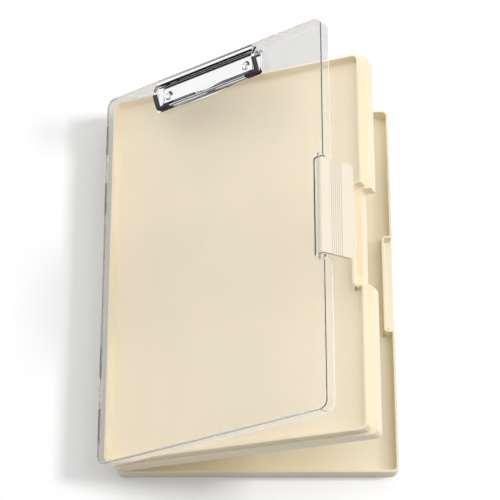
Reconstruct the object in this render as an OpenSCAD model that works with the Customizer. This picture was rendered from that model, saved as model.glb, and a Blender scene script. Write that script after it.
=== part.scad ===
// Storage clipboard box: two hinged trays, a clear writing lid, a side latch and a wire paper clip.
// Base flat on z = 0, width along X (spine at -X, latch at +X), length along Y (clip at +Y), Z up.

/* [Pose] */
// Middle tray, angle open from the base (deg)
middle_open = 23.4; // [0:0.1:80]
// Lid, angle open from the middle tray (deg)
lid_open = 15.9; // [0:0.1:90]
// Latch, angle swung out from its closed place (deg)
latch_open = 18.7; // [0:0.1:110]
// Clip bail, angle raised (deg)
bail_open = 0; // [0:1:100]

/* [Trays] */
// Width across the trays, spine face to latch face
tray_w = 238; // [200:1:280]
// Length of the trays, clip end to foot end
tray_l = 340; // [300:1:400]
// Corner radius seen from above
corner_r = 5.5; // [4:0.5:10]
// Thickness of the tray walls
wall_t = 2; // [1.6:0.1:2.6]
// Thickness of the tray floors
floor_t = 2; // [1.6:0.1:3]
// Height of the base tray
base_h = 14.5; // [12:0.5:25]
// Height of the middle tray's skirt, rim of the base to the ledge
skirt_h = 11.7; // [10:0.1:20]
// Height of the middle tray's lip above the ledge
lip_h = 9; // [6:0.5:12]
// Thickness of the middle tray's lip
lip_t = 1.8; // [1.4:0.1:2.4]
// Corner radius of the lip, outside
lip_corner_r = 6; // [5:0.5:9]
// Ledge width on the latch side
ledge_x = 4.9; // [4:0.1:7]
// Ledge width at the two ends
ledge_y = 2.4; // [2.4:0.1:4]
// Radius of the coves where floors meet walls
cove_r = 2; // [1:0.1:3]
// Gap between leaves when shut
leaf_gap = 0.3; // [0.2:0.05:0.6]

/* [Latch recess] */
// Depth of the recess in the middle tray
recess_d = 8.5; // [7:0.1:10]
// Depth of the recess in the base tray
base_recess_d = 7.2; // [6:0.1:9]
// End of the base tray's recess, clip end, from the middle of the side
base_recess_head = 44; // [43:0.5:60]
// End of the base tray's recess, foot end
base_recess_foot = 42.4; // [42:0.1:60]
// End of the middle tray's recess, clip end
recess_head = 44.2; // [43:0.1:60]
// End of the middle tray's recess, foot end
recess_foot = 42; // [42:0.1:60]
// Corner radius at the bottom of the middle tray's recess
recess_r = 2.2; // [1:0.1:4]
// Corner radius at the bottom of the base tray's recess
base_recess_r = 1.4; // [1:0.1:4]
// Rounding where the wall turns into the base tray's recess
base_mouth_r = 2.3; // [2.1:0.1:4]
// Rounding where the wall turns into the middle tray's recess, clip end
head_mouth_r = 0.6; // [0.4:0.1:5]
// Rounding where the wall turns into the middle tray's recess, foot end
foot_mouth_r = 4.6; // [2.2:0.1:5]
// Height of the shelf left in the base recess
shelf_h = 5; // [4:0.1:6.5]
// Distance from the tray's side to the edge of the catch ridge
catch_in = 4.7; // [4.5:0.1:5]
// Thickness of the catch ridge
catch_t = 1.6; // [1.2:0.1:2]
// Length of the catch ridge
catch_l = 80; // [40:1:84]

/* [Spine hinges] */
// How far the hinge axes stand off the tray walls
axis_off = 2; // [1.8:0.1:2.4]
// Outer radius of the hinge knuckles
knuckle_r = 2.3; // [2.1:0.05:2.5]
// Radius of the spine hinge pins
pin_r = 0.9; // [0.7:0.05:1.1]
// Running clearance of the pins in the turning knuckles (radial)
pin_clear = 0.05; // [0.02:0.01:0.1]
// Distance of each hinge zone's middle from the end of the spine
zone_in = 65; // [55:1:90]
// Length of one knuckle
knuckle_l = 27.4; // [20:0.2:30]
// Gap between neighbouring knuckles
knuckle_gap = 0.4; // [0.3:0.05:0.8]
// Clearance of the grooves that knuckles turn in
groove_clear = 0.3; // [0.25:0.05:0.4]

/* [Lid] */
// Thickness of the writing panel
panel_t = 2.5; // [2:0.1:3.5]
// Thickness of the lid's skirt
lid_skirt_t = 1.7; // [1.4:0.1:1.7]
// Gap between the middle tray's lip and the lid's panel
lid_head = 1; // [0.6:0.1:3]
// Clearance between the lid's skirt and the ledge
lid_foot = 1.3; // [0.3:0.1:1.8]
// Set-back of the lid's edge at the two ends
lid_inset = 0.35; // [0:0.05:0.4]
// Overhang of the lid's skirt past the tray at the spine
lid_over = 2.6; // [2.5:0.1:3]
// Corner radius of the lid
lid_corner_r = 7.5; // [6:0.5:9]
// Depth of the notch for the latch
notch_d = 9; // [8:0.1:9.4]
// Half length of the notch for the latch
notch_half = 42.7; // [42.2:0.1:43.2]
// Corner radius of the notch
notch_r = 1.5; // [0.6:0.1:1.6]
// Drop of the rim round the notch below the panel
notch_rim = 1.6; // [1:0.1:3]
// Thickness of the rim round the notch
rim_t = 1.4; // [0.8:0.1:1.4]

/* [Latch] */
// Length of the latch along the side
latch_l = 82.8; // [70:0.2:84]
// Thickness of the latch
latch_t = 2.2; // [1.8:0.1:2.4]
// Height of the latch's side flap, measured down from its top
latch_h = 31.5; // [28:0.1:32.5]
// Outer bend radius of the latch
bend_r = 3; // [2.6:0.1:4]
// Inner bend radius of the latch
bend_in_r = 0.8; // [0.3:0.1:1.4]
// Corner radius of the flap's free edge
flap_r = 5; // [2:0.5:8]
// Radius of the latch's hinge barrel
barrel_r = 1.7; // [1.5:0.05:1.8]
// Radius of the latch pin
latch_pin_r = 0.8; // [0.6:0.05:1]
// Distance of the latch pin in from the side of the tray
latch_axis_in = 4.8; // [4.2:0.1:5.4]
// Number of grip grooves
grooves = 6; // [3:1:8]
// Spacing of the grip grooves
groove_pitch = 1.95; // [1.4:0.05:2.2]
// Width of a grip groove
groove_w = 0.55; // [0.3:0.05:0.9]
// Depth of a grip groove
groove_d = 0.4; // [0.2:0.05:0.6]
// First grip groove, measured down from the latch's top
groove_first = 9.8; // [8:0.1:12]
// Reach of the hook behind the flap
hook_reach = 3.7; // [3.4:0.1:4]
// Height of the hook
hook_h = 2.2; // [1.6:0.1:2.4]
// Length of the hook
hook_l = 68; // [40:1:74]

/* [Clip] */
// Distance between the bail's two legs
leg_span = 111; // [80:0.5:140]
// How far the clip's base sheet stands out past each leg
sheet_side = 3.7; // [2.5:0.1:6]
// Middle of the clip, sideways from the middle of the lid
clip_x = -0.8; // [-5:0.1:5]
// Front edge of the clip's base sheet, from the end of the lid
clip_in = 33; // [31:0.1:40]
// Thickness of the clip's sheet metal
sheet_t = 0.9; // [0.7:0.05:1.1]
// Height of the raised middle of the clip
plateau_h = 3.6; // [3:0.1:4.2]
// Set-in of the raised middle from each leg
plateau_side = 5; // [3.5:0.1:8]
// Set-back of the raised middle behind the front edge
plateau_back = 5.7; // [5.2:0.1:7]
// How far the wave in the raised middle's front edge reaches forward
wave_d = 2.1; // [0.5:0.1:2.1]
// Half width of that wave
wave_half = 18.5; // [12:0.5:30]
// How far the base sheet's front edge bows forward
bow_d = 2; // [0:0.1:3]
// Half width of the bow
bow_half = 42; // [30:1:50]
// Rounding of the raised middle's two shoulders
shoulder_r = 1.6; // [0.8:0.1:2]
// Radius of the rolled bead along the sheet's two sides
bead_r = 0.7; // [0.5:0.05:0.8]
// Radius of the clip's roll
roll_r = 3.4; // [3:0.1:4]
// Set-in of the roll's ends from the legs
roll_in = 2; // [1.8:0.1:3]
// Gap from the bail's bend to the roll's end
bail_gap = 0.3; // [0.2:0.05:0.5]
// Distance of the roll's axis behind the front edge
roll_back = 24.2; // [22:0.1:28]
// Height of the roll's axis above the lid
roll_h = 5.2; // [4.8:0.1:6]
// Bore of the hollow middle of the roll (radius)
roll_bore_r = 2.5; // [2:0.1:2.6]
// Length of the necked bearing at each end of the roll
neck_l = 7.5; // [4:0.5:12]
// Set-in of the rivets from the legs
rivet_in = 12.3; // [11:0.1:20]
// Distance of the rivets behind the front edge
rivet_back = 11.6; // [9:0.1:13]
// Radius of the wells the rivets sit in
well_r = 4.2; // [3.6:0.1:4.6]
// Radius of the rivet heads
rivet_head_r = 3.2; // [2.6:0.1:3.4]
// Height of the rivet heads
rivet_head_h = 1.5; // [1:0.1:2]
// Radius of the rivet shanks
rivet_r = 1.6; // [1.2:0.1:2]
// Height of the closed end of a rivet under the lid
rivet_tail_h = 0.9; // [0.6:0.1:1.2]

/* [Clip bail] */
// Radius of the bail wire
wire_r = 1.1; // [0.8:0.05:1.3]
// Bend radius of the bail's front corners
bail_bend_r = 2.5; // [2.4:0.1:6]
// Front bar, distance behind the clip's front edge
bar_back = 2.2; // [2.2:0.1:3]
// Height of the front bar above the lid
bar_h = 3.3; // [3.2:0.1:4]
// Knee of the bail's legs, distance behind the front edge
knee_back = 15.7; // [12:0.1:17]
// Height of the knee above the lid
knee_h = 9.3; // [6:0.1:10]
// Length of each wire end inside the roll
stub_l = 14; // [9:0.5:20]
// Radius of the rubber sleeves
sleeve_r = 2.1; // [1.7:0.05:2.1]
// Gap from the sleeve's end to the knee
sleeve_stop = 1.8; // [1.2:0.1:6]
// Length of a sleeve along the bar, from the middle of the leg
sleeve_run = 12.5; // [6:0.5:18]

/* [Hidden] */
$fn = 48;
eps = 0.01;
hw = tray_w / 2;
hl = tray_l / 2;
middle_z = base_h + leaf_gap;               // underside of the middle tray, shut
ledge_z = middle_z + skirt_h;               // ledge and floor of the middle tray
lip_z = ledge_z + lip_h;                    // top of the middle tray
lid_z = lip_z + lid_head;                   // underside of the writing panel
top_z = lid_z + panel_t;                    // writing surface
lid_foot_z = ledge_z + lid_foot;            // foot of the lid's skirt
axis_x = -hw - axis_off;                    // both spine axes
axis1_z = base_h + leaf_gap / 2;
axis2_z = ledge_z + leaf_gap / 2;
groove_r = knuckle_r + groove_clear;
knuckle_step = knuckle_l + knuckle_gap;
pin_l = 3 * knuckle_l + 2 * knuckle_gap;
zone_y = hl - zone_in;
lid_x0 = -hw - lid_over;
lid_hl = hl - lid_inset;
latch_x = hw - latch_axis_in;               // latch pin
latch_top = top_z + 0.2;
latch_z = latch_top - barrel_r;
latch_face = hw + 0.4;
latch_foot = latch_top - latch_h;
catch_z = latch_foot + hook_h + 0.5;        // underside of the catch ridge
clip_front = lid_hl - clip_in;
clip_w = leg_span + 2 * sheet_side;
plateau_w = leg_span - 2 * plateau_side;
roll_l = leg_span - 2 * roll_in;
rivet_span = leg_span - 2 * rivet_in;
sleeve_end = leg_span / 2 - sleeve_run;
tail_bend_r = roll_in - bail_gap;
bail_y = clip_front + roll_back;
bail_z = top_z + roll_h;
bar_y = clip_front + bar_back;
knee_y = clip_front + knee_back;
plateau_y = clip_front + plateau_back;
cream = [0.96, 0.91, 0.80];
cream_mid = [0.97, 0.92, 0.81];
clear_c = [0.86, 0.89, 0.90, 0.45];
steel = [0.78, 0.79, 0.80];
black = [0.13, 0.13, 0.14];

// ---- poses -----------------------------------------------------------------------------------
module turn_y(x, z, a) translate([x, 0, z]) rotate([0, -a, 0]) translate([-x, 0, -z]) children();
module on_middle() turn_y(axis_x, axis1_z, middle_open) children();
module on_lid() on_middle() turn_y(axis_x, axis2_z, lid_open) children();
module on_latch() on_lid() turn_y(latch_x, latch_z, latch_open) children();
module on_bail() on_lid() translate([clip_x, bail_y, bail_z]) rotate([-bail_open, 0, 0])
    translate([0, -bail_y, -bail_z]) children();

// ---- helpers ---------------------------------------------------------------------------------
module rrect(x0, x1, y0, y1, r) {
    translate([x0 + r, y0]) square([x1 - x0 - 2 * r, y1 - y0]);
    translate([x0, y0 + r]) square([x1 - x0, y1 - y0 - 2 * r]);
    for (x = [x0 + r, x1 - r], y = [y0 + r, y1 - r]) translate([x, y]) circle(r);
}
module slab(z0, z1) translate([0, 0, z0]) linear_extrude(z1 - z0) children();
// a section drawn in X and Z, run along Y
module along_y(y0, y1) translate([0, y1, 0]) rotate([90, 0, 0]) linear_extrude(y1 - y0) children();
// a section drawn in Y and Z, run along X
module along_x(x0, x1) translate([x0, 0, 0]) rotate([90, 0, 90]) linear_extrude(x1 - x0) children();
// the recess for the latch: depth, its two ends, inner corner, mouth roundings, growth into the tray
module recess(d, head, foot, r, m_head, m_foot, g) {
    rrect(hw - d - g, hw + tray_w, -foot - g, head + g, r + g);
    mouth(head, m_head, g);
    scale([1, -1]) mouth(foot, m_foot, g);
}
module mouth(end, m, g) if (m > g + 0.05) difference() {
    translate([hw - m, end + g - eps]) square([m - g + wall_t, m - g + eps]);
    translate([hw - m, end + m]) circle(m - g);
}
module base_recess(g) recess(base_recess_d, base_recess_head, base_recess_foot, base_recess_r,
    base_mouth_r, base_mouth_r, g);
module middle_recess(g) recess(recess_d, recess_head, recess_foot, recess_r, head_mouth_r, foot_mouth_r, g);
// the same recess as the lip follows it, set in by the ledge
module lip_recess(g) recess(recess_d + ledge_x, recess_head + ledge_y, recess_foot + ledge_y, recess_r + ledge_y,
    ledge_x + head_mouth_r, ledge_x + 1.5, g);
module cove() difference() { translate([-eps, -eps]) square(cove_r); translate([cove_r, cove_r]) circle(cove_r); }
// coves round a pocket: x0, x1, half length, recess wall x and its two ends, floor height
module coves(x0, x1, yh, rx, head, foot, z) {
    translate([x0, 0, z]) along_y(-yh, yh) cove();
    for (s = [-1, 1]) scale([1, s, 1]) translate([0, -yh, z]) along_x(x0, x1) cove();
    translate([x1, 0, z]) along_y(head, yh) mirror([1, 0]) cove();
    translate([x1, 0, z]) along_y(-yh, -foot) mirror([1, 0]) cove();
    translate([0, head, z]) along_x(rx, x1) cove();
    translate([0, -foot, z]) scale([1, -1, 1]) along_x(rx, x1) cove();
    translate([rx, 0, z]) along_y(-foot, head) mirror([1, 0]) cove();
}
// one hinge knuckle; k = -1, 0, 1 along the zone, up = 1 for a knuckle carried from above
module knuckle_2d(up) {
    circle(knuckle_r);
    scale([1, up]) polygon([[-knuckle_r * 0.63, -knuckle_r * 0.63], [axis_off + 0.4, -knuckle_r * 1.26 - axis_off - 0.4],
        [axis_off + 0.4, -0.4], [knuckle_r * 0.6, -0.4]]);
}
module knuckle(s, k, z, up) {
    y = s * zone_y + k * knuckle_step;
    translate([axis_x, 0, z]) along_y(y - knuckle_l / 2, y + knuckle_l / 2) knuckle_2d(up);
}
module groove(s, k, z) {
    y = s * zone_y + k * knuckle_step;
    translate([axis_x, 0, z]) along_y(y - knuckle_l / 2 - knuckle_gap, y + knuckle_l / 2 + knuckle_gap)
        circle(groove_r);
}
module pin_bore(s, k, z, r) {
    y = s * zone_y + k * knuckle_step;
    translate([axis_x, 0, z]) along_y(y - knuckle_l / 2 - 0.1, y + knuckle_l / 2 + 0.1) circle(r);
}

// ---- base ------------------------------------------------------------------------------------
module outline() rrect(-hw, hw, -hl, hl, corner_r);
module pocket() rrect(-hw + wall_t, hw - wall_t, -hl + wall_t, hl - wall_t, corner_r - wall_t);
module base_tray() color(cream) difference() {
    union() {
        difference() {
            slab(0, base_h) outline();
            slab(floor_t, base_h + 1) difference() {
                pocket();
                base_recess(wall_t);
            }
            slab(shelf_h, base_h + 1) base_recess(0);
            slab(-1, shelf_h - wall_t)
                rrect(hw - base_recess_d, hw - wall_t, -base_recess_foot + wall_t, base_recess_head - wall_t, 1.5);
        }
        coves(-hw + wall_t, hw - wall_t, hl - wall_t, hw - base_recess_d - wall_t, base_recess_head + wall_t,
            base_recess_foot + wall_t, floor_t);
        translate([hw - base_recess_d - 0.5, -catch_l / 2, catch_z])
            cube([base_recess_d + 0.5 - catch_in, catch_l, catch_t]);
        for (s = [-1, 1], k = [-1, 1]) knuckle(s, k, axis1_z, 1);
    }
    for (s = [-1, 1]) groove(s, 0, axis1_z);
    for (s = [-1, 1], k = [-1, 1]) pin_bore(s, k, axis1_z, pin_r);
}

// ---- middle ----------------------------------------------------------------------------------
module lip_outer() difference() {
    rrect(-hw, hw - ledge_x, -hl + ledge_y, hl - ledge_y, lip_corner_r);
    lip_recess(0);
}
module lip_inner() difference() {
    rrect(-hw + wall_t, hw - ledge_x - lip_t, -hl + ledge_y + lip_t, hl - ledge_y - lip_t, lip_corner_r - lip_t);
    lip_recess(lip_t);
}
module middle_tray() on_middle() color(cream_mid) difference() {
    union() {
        difference() {
            slab(middle_z, ledge_z) difference() {
                outline();
                middle_recess(0);
            }
            slab(middle_z - 1, ledge_z - floor_t) difference() {
                pocket();
                middle_recess(wall_t);
            }
        }
        slab(ledge_z - eps, lip_z) difference() { lip_outer(); lip_inner(); }
        coves(-hw + wall_t, hw - ledge_x - lip_t, hl - ledge_y - lip_t, hw - recess_d - ledge_x - lip_t,
            recess_head + ledge_y + lip_t, recess_foot + ledge_y + lip_t, ledge_z);
        for (s = [-1, 1]) { knuckle(s, 0, axis1_z, -1); knuckle(s, 0, axis2_z, 1); }
    }
    for (s = [-1, 1], k = [-1, 1]) { groove(s, k, axis1_z); groove(s, k, axis2_z); }
    for (s = [-1, 1], z = [axis1_z, axis2_z]) pin_bore(s, 0, z, pin_r + pin_clear);
}

// ---- lid -------------------------------------------------------------------------------------
module lid_outline(g) rrect(lid_x0 + g, hw - g, -lid_hl + g, lid_hl - g, lid_corner_r - g);
module notch(g) rrect(hw - notch_d - g, hw + notch_d, -notch_half - g, notch_half + g, notch_r + g);
module lid() on_lid() color(clear_c) difference() {
    union() {
        difference() {
            slab(lid_foot_z, top_z) lid_outline(0);
            slab(lid_foot_z - 1, lid_z) lid_outline(lid_skirt_t);
        }
        slab(lid_z - notch_rim, lid_z + eps) intersection() { notch(rim_t); lid_outline(0); }
        for (s = [-1, 1], k = [-1, 1]) translate([axis_x, 0, axis2_z])
            along_y(s * zone_y + k * knuckle_step - knuckle_l / 2, s * zone_y + k * knuckle_step + knuckle_l / 2)
                circle(knuckle_r);
    }
    slab(lid_foot_z - 5, top_z + 1) notch(0);
    for (s = [-1, 1]) groove(s, 0, axis2_z);
    for (s = [-1, 1], k = [-1, 1]) pin_bore(s, k, axis2_z, pin_r);
    translate([latch_x, 0, latch_z]) along_y(-notch_half - 3.6, notch_half + 3.6) circle(latch_pin_r);
    for (s = [-1, 1]) translate([clip_x + s * rivet_span / 2, clip_front + rivet_back, lid_z - 1])
        cylinder(r = rivet_r, h = panel_t + 2);
}

// ---- latch -----------------------------------------------------------------------------------
module latch_2d() {
    translate([latch_x, latch_z]) circle(barrel_r);
    translate([latch_x, latch_top - latch_t]) square([latch_face - bend_r - latch_x, latch_t]);
    translate([latch_face - latch_t, latch_foot]) square([latch_t, latch_h - bend_r]);
    translate([latch_face - bend_r, latch_top - bend_r]) intersection() {
        difference() { circle(bend_r); circle(bend_in_r); }
        square(bend_r + 1);
    }
}
module latch() on_latch() color(cream_mid) difference() {
    union() {
        intersection() {
            along_y(-latch_l / 2, latch_l / 2) latch_2d();
            along_x(latch_x - 10, latch_face + 10)
                rrect(-latch_l / 2, latch_l / 2, latch_foot, latch_top + latch_h, flap_r);
        }
        translate([latch_face - latch_t - hook_reach, -hook_l / 2, latch_foot])
            cube([hook_reach + 1, hook_l, hook_h]);
    }
    for (i = [0 : grooves - 1])
        translate([latch_face - groove_d, -latch_l, latch_top - groove_first - i * groove_pitch - groove_w / 2])
            cube([groove_d + 1, 2 * latch_l, groove_w]);
    translate([latch_x, 0, latch_z]) along_y(-latch_l, latch_l) circle(latch_pin_r + pin_clear);
}
module latch_pin() on_lid() color(steel) translate([latch_x, 0, latch_z])
    along_y(-notch_half - 3.6, notch_half + 3.6) circle(latch_pin_r);

// ---- spine pins ------------------------------------------------------------------------------
module spine_pin(s, z) translate([axis_x, 0, z])
    along_y(s * zone_y - pin_l / 2, s * zone_y + pin_l / 2) circle(pin_r);
module tray_hinge_pin_foot() color(steel) spine_pin(-1, axis1_z);
module tray_hinge_pin_head() color(steel) spine_pin(1, axis1_z);
module lid_hinge_pin_foot() on_lid() color(steel) spine_pin(-1, axis2_z);
module lid_hinge_pin_head() on_lid() color(steel) spine_pin(1, axis2_z);

// ---- clip ------------------------------------------------------------------------------------
// a smooth swell d deep and 2 * half wide, on the front of an edge at y = 0
module swell(half, d) polygon(concat([[-half, 1]],
    [for (i = [-14 : 14]) [half * i / 14, -d * (1 + cos(180 * i / 14)) / 2]], [[half, 1]]));
module clip_plate() on_lid() color(steel) translate([clip_x, 0, top_z]) {
    cw = clip_w / 2;
    pw = plateau_w / 2;
    difference() {
        union() {
            slab(0, sheet_t) {
                rrect(-cw, cw, clip_front, clip_front + 12, 2.5);
                rrect(-cw, cw, clip_front + 4, bail_y, 5);
                translate([0, clip_front]) swell(bow_half, bow_d);
            }
            for (s = [-1, 1]) translate([s * (cw - bead_r - 0.3), 0, sheet_t])
                along_y(clip_front + 3, bail_y - 5.5) circle(bead_r);
            difference() {
                intersection() {
                    slab(0, plateau_h + 1) {
                        translate([-pw, plateau_y]) square([plateau_w, bail_y - plateau_y]);
                        translate([0, plateau_y]) swell(wave_half, wave_d);
                    }
                    along_y(clip_front, bail_y + 1) rrect(-pw, pw, -plateau_h, plateau_h, shoulder_r);
                }
                translate([-pw + sheet_t, plateau_y + sheet_t, -1])
                    cube([plateau_w - 2 * sheet_t, bail_y - plateau_y, plateau_h - sheet_t + 1]);
            }
            for (s = [-1, 1]) translate([s * rivet_span / 2, clip_front + rivet_back, 0])
                cylinder(r = well_r + sheet_t, h = plateau_h);
            translate([0, bail_y, roll_h]) along_x(-roll_l / 2, roll_l / 2) circle(roll_r);
            translate([-pw, bail_y - 1.2, 0]) cube([plateau_w, 1.2, roll_h]);
        }
        for (s = [-1, 1]) translate([s * rivet_span / 2, clip_front + rivet_back, 0]) {
            translate([0, 0, sheet_t]) cylinder(r = well_r, h = 10);
            translate([0, 0, -1]) cylinder(r = rivet_r, h = 10);
        }
        translate([0, bail_y, roll_h]) along_x(-roll_l / 2 + neck_l, roll_l / 2 - neck_l) circle(roll_bore_r);
        translate([0, bail_y, roll_h]) along_x(-roll_l, roll_l) circle(wire_r + pin_clear);
    }
}
module clip_rivet(s) on_lid() color(steel) translate([clip_x + s * rivet_span / 2, clip_front + rivet_back, 0]) {
    head_r = (rivet_head_r * rivet_head_r + rivet_head_h * rivet_head_h) / (2 * rivet_head_h);
    intersection() {
        translate([0, 0, top_z + sheet_t + rivet_head_h - head_r]) sphere(head_r);
        translate([0, 0, top_z + sheet_t]) cylinder(r = rivet_head_r + 1, h = rivet_head_h + 1);
    }
    translate([0, 0, lid_z - eps]) cylinder(r = rivet_r, h = panel_t + sheet_t + 0.3);
    translate([0, 0, lid_z - rivet_tail_h]) cylinder(r = rivet_r + 1.2, h = rivet_tail_h);
}
module clip_rivet_left() clip_rivet(-1);
module clip_rivet_right() clip_rivet(1);

// ---- bail ------------------------------------------------------------------------------------
front_run = sqrt((knee_y - bar_y) * (knee_y - bar_y) + (knee_h - bar_h) * (knee_h - bar_h));
front_a = atan2(knee_h - bar_h, knee_y - bar_y);
back_run = sqrt((bail_y - knee_y) * (bail_y - knee_y) + (roll_h - knee_h) * (roll_h - knee_h));
back_a = atan2(roll_h - knee_h, bail_y - knee_y);
module rod_x(r, x0, x1) rotate([90, 0, 90]) translate([0, 0, x0]) cylinder(r = r, h = x1 - x0);
module rod_y(r, y0, y1) rotate([-90, 0, 0]) translate([0, 0, y0]) cylinder(r = r, h = y1 - y0);
// a quarter bend from along X to along Y, its corner at [0, 0]
module quarter(r, b) translate([-b, b, 0]) rotate([0, 0, -90]) rotate_extrude(angle = 90) translate([b, 0]) circle(r);
module clip_bail() on_bail() color(steel) {
    lx = leg_span / 2;
    b = bail_bend_r;
    translate([0, bar_y, top_z + bar_h]) rod_x(wire_r, -lx + b, lx - b);
    for (s = [-1, 1]) scale([s, 1, 1]) {
        translate([lx, bar_y, top_z + bar_h]) rotate([front_a, 0, 0]) {
            quarter(wire_r, b);
            rod_y(wire_r, b, front_run);
        }
        translate([lx, bail_y, bail_z]) rotate([back_a, 0, 0]) scale([1, -1, 1]) {
            quarter(wire_r, tail_bend_r);
            rod_y(wire_r, tail_bend_r, back_run);
        }
        translate([lx, knee_y, top_z + knee_h]) sphere(wire_r + 0.08);
        translate([0, bail_y, bail_z]) rod_x(wire_r, roll_l / 2 - stub_l, lx - tail_bend_r);
    }
}
module sleeve_rod(r, g) translate([leg_span / 2, bar_y, top_z + bar_h]) rotate([front_a, 0, 0]) {
    rod_x(r, sleeve_end - leg_span / 2 - g, -bail_bend_r);
    quarter(r, bail_bend_r);
    rod_y(r, bail_bend_r, front_run - sleeve_stop + g);
}
module sleeve(s) on_bail() color(black) scale([s, 1, 1]) difference() {
    sleeve_rod(sleeve_r, 0);
    sleeve_rod(wire_r, 0.4);
}
module clip_sleeve_left() sleeve(-1);
module clip_sleeve_right() sleeve(1);

base_tray();
middle_tray();
lid();
latch();
latch_pin();
tray_hinge_pin_foot();
tray_hinge_pin_head();
lid_hinge_pin_foot();
lid_hinge_pin_head();
clip_plate();
clip_bail();
clip_sleeve_left();
clip_sleeve_right();
clip_rivet_left();
clip_rivet_right();
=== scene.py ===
"""Looks for the storage clipboard box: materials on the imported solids, studio light and camera."""

import math

import bpy
from mathutils import Matrix, Vector

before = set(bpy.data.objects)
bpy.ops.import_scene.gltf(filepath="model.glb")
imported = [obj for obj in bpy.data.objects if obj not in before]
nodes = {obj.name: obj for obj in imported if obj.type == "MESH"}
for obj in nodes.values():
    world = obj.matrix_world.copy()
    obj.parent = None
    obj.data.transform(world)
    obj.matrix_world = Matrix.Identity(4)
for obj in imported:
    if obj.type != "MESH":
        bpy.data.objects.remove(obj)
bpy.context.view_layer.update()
scene = bpy.context.scene

# ---- camera ---------------------------------------------------------------------------------
EYE = Vector((-0.002203, -0.636304, 1.608258))
PITCH, YAW, ROLL = 22.772, 0.352, 0.462   # degrees: up from straight down, about Z, about the view
LENS, SENSOR = 141.24, 36.0               # mm
NEAR, FAR = 0.05, 20.0                    # clipping distances, m


def make_camera():
    """A camera at the photograph's angle, with no shift and no depth of field."""
    p, y, r = (math.radians(a) for a in (PITCH, YAW, ROLL))
    turn = Matrix.Rotation(y, 3, "Z")
    d = turn @ Vector((0, math.sin(p), -math.cos(p)))
    roll = Matrix.Rotation(r, 3, d)
    up = roll @ turn @ Vector((0, math.cos(p), math.sin(p)))
    right = roll @ turn @ Vector((1, 0, 0))
    m = Matrix((right, up, -d)).transposed().to_4x4()
    m.translation = EYE
    data = bpy.data.cameras.new("camera")
    data.lens, data.sensor_width = LENS, SENSOR
    data.clip_start, data.clip_end = NEAR, FAR
    cam = bpy.data.objects.new("camera", data)
    scene.collection.objects.link(cam)
    cam.matrix_world = m
    scene.camera = cam


# ---- node helpers ---------------------------------------------------------------------------
BEVEL_SAMPLES = 6


def new_material(name):
    """An empty material, with its nodes and links."""
    mat = bpy.data.materials.new(name)
    mat.use_nodes = True
    mat.node_tree.nodes.clear()
    return mat, mat.node_tree.nodes, mat.node_tree.links


def noise(ns, ls, coord, scale, detail=3.0, rough=0.5, stretch=None):
    """A noise texture in object space; stretch squeezes it along the axes."""
    n = ns.new("ShaderNodeTexNoise")
    n.inputs["Scale"].default_value = scale
    n.inputs["Detail"].default_value = detail
    n.inputs["Roughness"].default_value = rough
    if stretch:
        m = ns.new("ShaderNodeMapping")
        m.inputs["Scale"].default_value = stretch
        ls.new(coord, m.inputs["Vector"])
        coord = m.outputs["Vector"]
    ls.new(coord, n.inputs["Vector"])
    return n.outputs["Fac"]


def spread(ns, ls, value, low, high, from_low=0.3, from_high=0.7):
    """A number that goes from low to high while value goes from from_low to from_high."""
    m = ns.new("ShaderNodeMapRange")
    m.inputs["From Min"].default_value = from_low
    m.inputs["From Max"].default_value = from_high
    m.inputs["To Min"].default_value = low
    m.inputs["To Max"].default_value = high
    ls.new(value, m.inputs["Value"])
    return m.outputs["Result"]


def two_tone(ns, ls, value, dark, light):
    """A colour between dark and light, set by value."""
    r = ns.new("ShaderNodeValToRGB")
    r.color_ramp.elements[0].position, r.color_ramp.elements[1].position = 0.35, 0.65
    r.color_ramp.elements[0].color = (*dark, 1)
    r.color_ramp.elements[1].color = (*light, 1)
    ls.new(value, r.inputs["Fac"])
    return r.outputs["Color"]


def soft_edges(ns, ls, radius):
    """Normals that round every edge by radius, in metres."""
    b = ns.new("ShaderNodeBevel")
    b.samples = BEVEL_SAMPLES
    b.inputs["Radius"].default_value = radius
    return b.outputs["Normal"]


def bump(ns, ls, height, strength, distance, normal):
    """normal, tilted by the slope of height."""
    b = ns.new("ShaderNodeBump")
    b.inputs["Strength"].default_value = strength
    b.inputs["Distance"].default_value = distance
    ls.new(height, b.inputs["Height"])
    ls.new(normal, b.inputs["Normal"])
    return b.outputs["Normal"]


def blend(ns, ls, share, first, second):
    """The first shader where share is 0, the second where it is 1."""
    mix = ns.new("ShaderNodeMixShader")
    ls.new(share, mix.inputs["Fac"])
    ls.new(first, mix.inputs[1])
    ls.new(second, mix.inputs[2])
    return mix.outputs["Shader"]


def calculate(ns, ls, operation, first, second):
    """The operation on first and second; second is an output or a plain number."""
    m = ns.new("ShaderNodeMath")
    m.operation = operation
    ls.new(first, m.inputs[0])
    if isinstance(second, float):
        m.inputs[1].default_value = second
    else:
        ls.new(second, m.inputs[1])
    return m.outputs["Value"]


def either(ns, ls, path, rays):
    """1 where the ray is any of these kinds."""
    value = path.outputs[rays[0]]
    for name in rays[1:]:
        value = calculate(ns, ls, "MAXIMUM", value, path.outputs[name])
    return value


def diffuse(ns, tone):
    """A matt shader of one tone."""
    d = ns.new("ShaderNodeBsdfDiffuse")
    d.inputs["Color"].default_value = (*tone, 1)
    return d.outputs["BSDF"]


def finish_material(mat, ns, ls, shader):
    """mat, with shader as its surface."""
    out = ns.new("ShaderNodeOutputMaterial")
    ls.new(shader, out.inputs["Surface"])
    return mat


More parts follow.
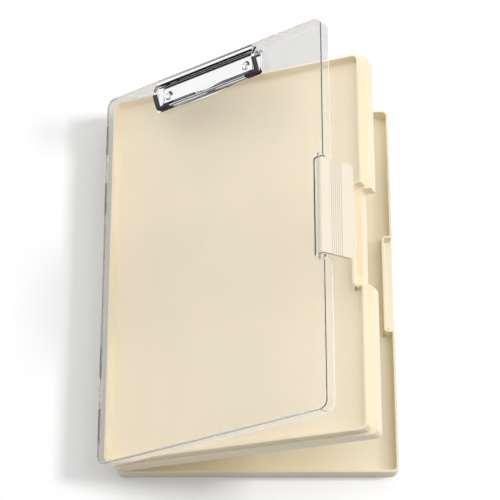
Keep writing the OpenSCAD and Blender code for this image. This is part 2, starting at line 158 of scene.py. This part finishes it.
# ---- materials ------------------------------------------------------------------------------
BASE_CREAM = (0.95, 0.87, 0.675)
MIDDLE_CREAM = (0.965, 0.855, 0.64)
LATCH_CREAM = (0.81, 0.735, 0.60)
LID_CLEAR = (0.97, 0.967, 0.96)
PIN_STEEL = (0.55, 0.55, 0.56)
PLATE_CHROME = (0.96, 0.96, 0.965)
WIRE_CHROME = (0.78, 0.785, 0.79)
RUBBER_DARK, RUBBER_LIGHT = (0.012, 0.012, 0.013), (0.026, 0.026, 0.028)

THIN_EDGE = 0.0002          # m, rounding of the metal's and the sleeves' edges
METAL_GLANCE = (0.15,) * 3  # tint of metal at a glancing angle
PLASTIC_IOR, CLEAR_IOR = 1.5, 1.49
CLEAR_EDGE = 0.0003         # m, rounding of the lid's edges
HIGHLIGHT_EDGE_REACH = 0.0011         # m, how far from an edge the painted highlight reaches
EDGE_HIGHLIGHT_SHARE = 0.3                 # share of matt white painted highlight where the surface turns most
EDGE_HIGHLIGHT_BEND = (0.75, 0.98)   # cosines of the turn that count as full and as none
# painted highlight: the matt white tone laid on the lid's rounded edges
EDGE_HIGHLIGHT_TONE = (0.95, 0.95, 0.94)
STRAIGHT_TONE = (0.97, 0.97, 0.965)
DEEPEST = 4.5               # walls of the lid that a ray bends through before it goes straight


def plastic(name, colour, rough=(0.34, 0.46), edge=0.0005, grain=0.18):
    """Moulded plastic: faint flow clouds in the colour, uneven sheen, eroded grain, soft edges."""
    mat, ns, ls = new_material(name)
    co = ns.new("ShaderNodeTexCoord").outputs["Object"]
    s = ns.new("ShaderNodeBsdfPrincipled")
    clouds = noise(ns, ls, co, scale=9, detail=4, rough=0.55, stretch=(1, 0.35, 1))
    dark = [c * 0.975 for c in colour]
    light = [min(1, c * 1.02) for c in colour]
    ls.new(two_tone(ns, ls, clouds, dark, light), s.inputs["Base Color"])
    ls.new(spread(ns, ls, noise(ns, ls, co, scale=60), *rough), s.inputs["Roughness"])
    n = soft_edges(ns, ls, edge)
    pits = noise(ns, ls, co, scale=1600, detail=2)
    ls.new(bump(ns, ls, pits, grain, 0.00003, n), s.inputs["Normal"])
    s.inputs["IOR"].default_value = PLASTIC_IOR
    return finish_material(mat, ns, ls, s.outputs["BSDF"])


def clear_plastic(name, colour):
    """Polished clear styrene: refracts, has faint smears and a painted highlight of matt white on
    its rounded edges, and lets light through to the trays.
    """
    mat, ns, ls = new_material(name)
    co = ns.new("ShaderNodeTexCoord").outputs["Object"]
    s = ns.new("ShaderNodeBsdfPrincipled")
    smears = noise(ns, ls, co, scale=30, detail=5, rough=0.6)
    ls.new(two_tone(ns, ls, smears, [c * 0.985 for c in colour], colour), s.inputs["Base Color"])
    s.inputs["Transmission Weight"].default_value = 1.0
    s.inputs["IOR"].default_value = CLEAR_IOR
    s.inputs["Roughness"].default_value = 0.0      # mirror smooth, which the dark flags rely on
    waves = noise(ns, ls, co, scale=14, detail=1)
    ls.new(bump(ns, ls, waves, 0.05, 0.0001, soft_edges(ns, ls, CLEAR_EDGE)), s.inputs["Normal"])

    # painted highlight: matt milky white on the rounded edges, where the rounded normal turns most,
    # stands in for their highlights
    bend = ns.new("ShaderNodeVectorMath")
    bend.operation = "DOT_PRODUCT"
    ls.new(soft_edges(ns, ls, HIGHLIGHT_EDGE_REACH), bend.inputs[0])
    ls.new(ns.new("ShaderNodeNewGeometry").outputs["Normal"], bend.inputs[1])
    painted_edge_highlight = spread(ns, ls, bend.outputs["Value"], EDGE_HIGHLIGHT_SHARE, 0, *EDGE_HIGHLIGHT_BEND)
    body = blend(ns, ls, painted_edge_highlight, s.outputs["BSDF"], diffuse(ns, EDGE_HIGHLIGHT_TONE))

    # shadow rays, and rays that have crossed the sheet many times, go straight through
    straight = ns.new("ShaderNodeBsdfTransparent")
    straight.inputs["Color"].default_value = (*STRAIGHT_TONE, 1)
    path = ns.new("ShaderNodeLightPath")
    deep = calculate(ns, ls, "GREATER_THAN", path.outputs["Transmission Depth"], DEEPEST)
    through = calculate(ns, ls, "MAXIMUM", path.outputs["Is Shadow Ray"], deep)
    return finish_material(mat, ns, ls, blend(ns, ls, through, body, straight.outputs["BSDF"]))


def metal(name, colour, rough, brushed=0.0):
    """Plated or drawn metal, darker at a glancing angle; brushed puts fine lines along X."""
    mat, ns, ls = new_material(name)
    co = ns.new("ShaderNodeTexCoord").outputs["Object"]
    s = ns.new("ShaderNodeBsdfPrincipled")
    tone = noise(ns, ls, co, scale=45)
    ls.new(two_tone(ns, ls, tone, [c * 0.96 for c in colour], colour), s.inputs["Base Color"])
    s.inputs["Specular Tint"].default_value = (*METAL_GLANCE, 1)
    s.inputs["Metallic"].default_value = 1.0
    ls.new(spread(ns, ls, noise(ns, ls, co, scale=220), *rough), s.inputs["Roughness"])
    n = soft_edges(ns, ls, THIN_EDGE)
    if brushed:
        lines = noise(ns, ls, co, scale=500, detail=2, stretch=(0.02, 1, 1))
        n = bump(ns, ls, lines, brushed, 0.00002, n)
    else:
        n = bump(ns, ls, noise(ns, ls, co, scale=60, detail=2), 0.08, 0.00005, n)
    ls.new(n, s.inputs["Normal"])
    return finish_material(mat, ns, ls, s.outputs["BSDF"])


def rubber(name):
    """Extruded black sleeve: satin, with fine drag marks and dust."""
    mat, ns, ls = new_material(name)
    co = ns.new("ShaderNodeTexCoord").outputs["Object"]
    s = ns.new("ShaderNodeBsdfPrincipled")
    dust = noise(ns, ls, co, scale=300, detail=4)
    ls.new(two_tone(ns, ls, dust, RUBBER_DARK, RUBBER_LIGHT), s.inputs["Base Color"])
    ls.new(spread(ns, ls, noise(ns, ls, co, scale=160), 0.42, 0.6), s.inputs["Roughness"])
    marks = noise(ns, ls, co, scale=1500)
    ls.new(bump(ns, ls, marks, 0.3, 0.00006, soft_edges(ns, ls, THIN_EDGE)), s.inputs["Normal"])
    return finish_material(mat, ns, ls, s.outputs["BSDF"])


def dress():
    """Gives every CAD node its procedural material."""
    pin = metal("pin steel", PIN_STEEL, rough=(0.25, 0.35), brushed=0.4)
    wire = metal("wire chrome", WIRE_CHROME, rough=(0.12, 0.2), brushed=0.1)
    sleeve = rubber("sleeve rubber")
    table = {
        "base_tray": plastic("base cream", BASE_CREAM),
        "middle_tray": plastic("middle cream", MIDDLE_CREAM),
        "latch": plastic("latch cream", LATCH_CREAM, rough=(0.3, 0.4), edge=0.00035),
        "lid": clear_plastic("clear lid", LID_CLEAR),
        "clip_plate": metal("clip chrome", PLATE_CHROME, rough=(0.02, 0.06)),
        "clip_bail": wire, "clip_rivet_left": wire, "clip_rivet_right": wire,
        "clip_sleeve_left": sleeve, "clip_sleeve_right": sleeve,
    }
    for name, obj in nodes.items():
        obj.data.materials.clear()
        obj.data.materials.append(table.get(name, pin))


# ---- stage ----------------------------------------------------------------------------------
SEEN_RAYS = ("Is Camera Ray", "Is Glossy Ray", "Is Transmission Ray")
AMBIENT = (0.29, 1.06)      # from the front, and from the back and sides
AMBIENT_TURN = (-0.5, 0.3)  # the directions' Y between which it changes
LEAK = 0.45                 # share of the seen white that reaches diffuse bounces through the lid

FLOOR_REACH = 4.0           # m from the middle to an edge
FLOOR_Z = -0.0002
FLOOR_TONE = 0.67           # as seen
FLOOR_BOUNCE = 0.36         # to diffuse rays
FLOOR_SHADE_THROUGH_LID = 0.42        # painted shade: the tone seen through the lid, lower so the lid looks grey over white
FLOOR_GLOW = 1.0            # white emission
FLOOR_SHARE = 0.2           # share of that emission in what is seen

KEY_PLACE, KEY_TARGET, KEY_SIZE = (1.75, 0.09, 1.61), (0, 0, 0.05), 0.42
LAMPS = (                   # name, place, target, side in m, power in W
    ("key right", KEY_PLACE, KEY_TARGET, KEY_SIZE, 9.0),
    ("top left", (-0.77, 0.33, 2.02), (0, 0, 0), 1.4, 7.0),
    ("top right", (0.8, -0.1, 1.95), (0, 0, 0), 1.2, 7.5),
)
FLOOR_KEY = 47.0            # W, at the key's place, on the floor alone

FLAG_TONE = (0.015,) * 3
FLAGS = {                   # corners in m
    "standing flag": (
        (-1.06, -0.19, 0), (-0.17, -0.30, 0), (-0.17, -0.30, 0.34), (-1.06, -0.19, 0.45)),
    "back flag": (
        (-0.30, 0.42, 0), (0.25, 0.42, 0), (0.25, 0.42, 0.42), (-0.30, 0.42, 0.42)),
    "lying flag": (
        (-1.06, 0.10, 0), (-0.14, 0.10, 0), (-0.14, -0.30, 0), (-1.06, -0.30, 0)),
}


def card(name, corners):
    """A flat four-cornered sheet."""
    mesh = bpy.data.meshes.new(name)
    mesh.from_pydata(corners, [], [(0, 1, 2, 3)])
    obj = bpy.data.objects.new(name, mesh)
    scene.collection.objects.link(obj)
    return obj


def make_floor():
    """White paper that keeps the shadow; its tone is lower for bounced light, and lower still as
    painted shade where seen through the lid.
    """
    r = FLOOR_REACH
    floor = card("floor", [(-r, -r, 0), (r, -r, 0), (r, r, 0), (-r, r, 0)])
    floor.location.z = FLOOR_Z
    mat, ns, ls = new_material("floor paper")
    d = ns.new("ShaderNodeBsdfDiffuse")
    path = ns.new("ShaderNodeLightPath")
    tone = d.inputs["Color"]
    # the tone seen through the lid is painted shade
    for rays, value in (("Is Diffuse Ray", FLOOR_BOUNCE), ("Is Transmission Ray", FLOOR_SHADE_THROUGH_LID)):
        m = ns.new("ShaderNodeMixRGB")
        ls.new(path.outputs[rays], m.inputs["Fac"])
        m.inputs["Color1"].default_value = (*[FLOOR_TONE] * 3, 1)
        m.inputs["Color2"].default_value = (*[value] * 3, 1)
        ls.new(m.outputs["Color"], tone)
        tone = m.inputs["Color1"]
    e = ns.new("ShaderNodeEmission")
    e.inputs["Color"].default_value = (1, 1, 1, 1)
    e.inputs["Strength"].default_value = FLOOR_GLOW
    share = spread(ns, ls, either(ns, ls, path, SEEN_RAYS), 0, FLOOR_SHARE, 0, 1)
    paper = blend(ns, ls, share, d.outputs["BSDF"], e.outputs["Emission"])
    floor.data.materials.append(finish_material(mat, ns, ls, paper))
    return floor


def make_world():
    """White where the camera, metal and lid look past the floor; plain ambient light otherwise."""
    world = bpy.data.worlds.new("studio")
    scene.world = world
    world.use_nodes = True
    ns, ls = world.node_tree.nodes, world.node_tree.links
    ns.clear()
    out = ns.new("ShaderNodeOutputWorld")
    seen, ambient = ns.new("ShaderNodeBackground"), ns.new("ShaderNodeBackground")
    seen.inputs["Color"].default_value = ambient.inputs["Color"].default_value = (1, 1, 1, 1)
    direction = ns.new("ShaderNodeSeparateXYZ")
    ls.new(ns.new("ShaderNodeTexCoord").outputs["Generated"], direction.inputs["Vector"])
    strength = spread(ns, ls, direction.outputs["Y"], *AMBIENT, *AMBIENT_TURN)
    ls.new(strength, ambient.inputs["Strength"])
    path = ns.new("ShaderNodeLightPath")
    bounced = spread(ns, ls, path.outputs["Diffuse Depth"], 1, LEAK, 0, 1)
    share = calculate(ns, ls, "MULTIPLY", either(ns, ls, path, SEEN_RAYS), bounced)
    white = blend(ns, ls, share, ambient.outputs["Background"], seen.outputs["Background"])
    ls.new(white, out.inputs["Surface"])


def dark_flag(name, corners):
    """A dark card for the chrome's reflections alone: the mirror-smooth lid looks through it."""
    flag = card(name, corners)
    mat, ns, ls = new_material(name)
    singular = ns.new("ShaderNodeLightPath").outputs["Is Singular Ray"]
    clear = ns.new("ShaderNodeBsdfTransparent").outputs["BSDF"]
    shader = blend(ns, ls, singular, diffuse(ns, FLAG_TONE), clear)
    flag.data.materials.append(finish_material(mat, ns, ls, shader))
    flag.visible_camera = flag.visible_transmission = False
    flag.visible_diffuse = flag.visible_shadow = False


def area_lamp(name, place, target, side, power):
    """A square white lamp that faces its target."""
    data = bpy.data.lights.new(name, "AREA")
    data.shape, data.size, data.size_y = "RECTANGLE", side, side
    data.energy = power
    lamp = bpy.data.objects.new(name, data)
    scene.collection.objects.link(lamp)
    lamp.location = place
    lamp.rotation_euler = (Vector(target) - Vector(place)).to_track_quat("-Z", "Y").to_euler()
    return lamp


def light_floor(floor):
    """A lamp at the key's place that lights the floor alone, and so sets how deep the shadow is."""
    only_floor = bpy.data.collections.new("floor only")
    only_floor.objects.link(floor)
    lamp = area_lamp("floor key", KEY_PLACE, KEY_TARGET, KEY_SIZE, FLOOR_KEY)
    lamp.light_linking.receiver_collection = only_floor


make_camera()
dress()
floor = make_floor()
make_world()
for name, corners in FLAGS.items():
    dark_flag(name, corners)
for lamp in LAMPS:
    area_lamp(*lamp)
light_floor(floor)
scene.view_settings.view_transform = "Standard"
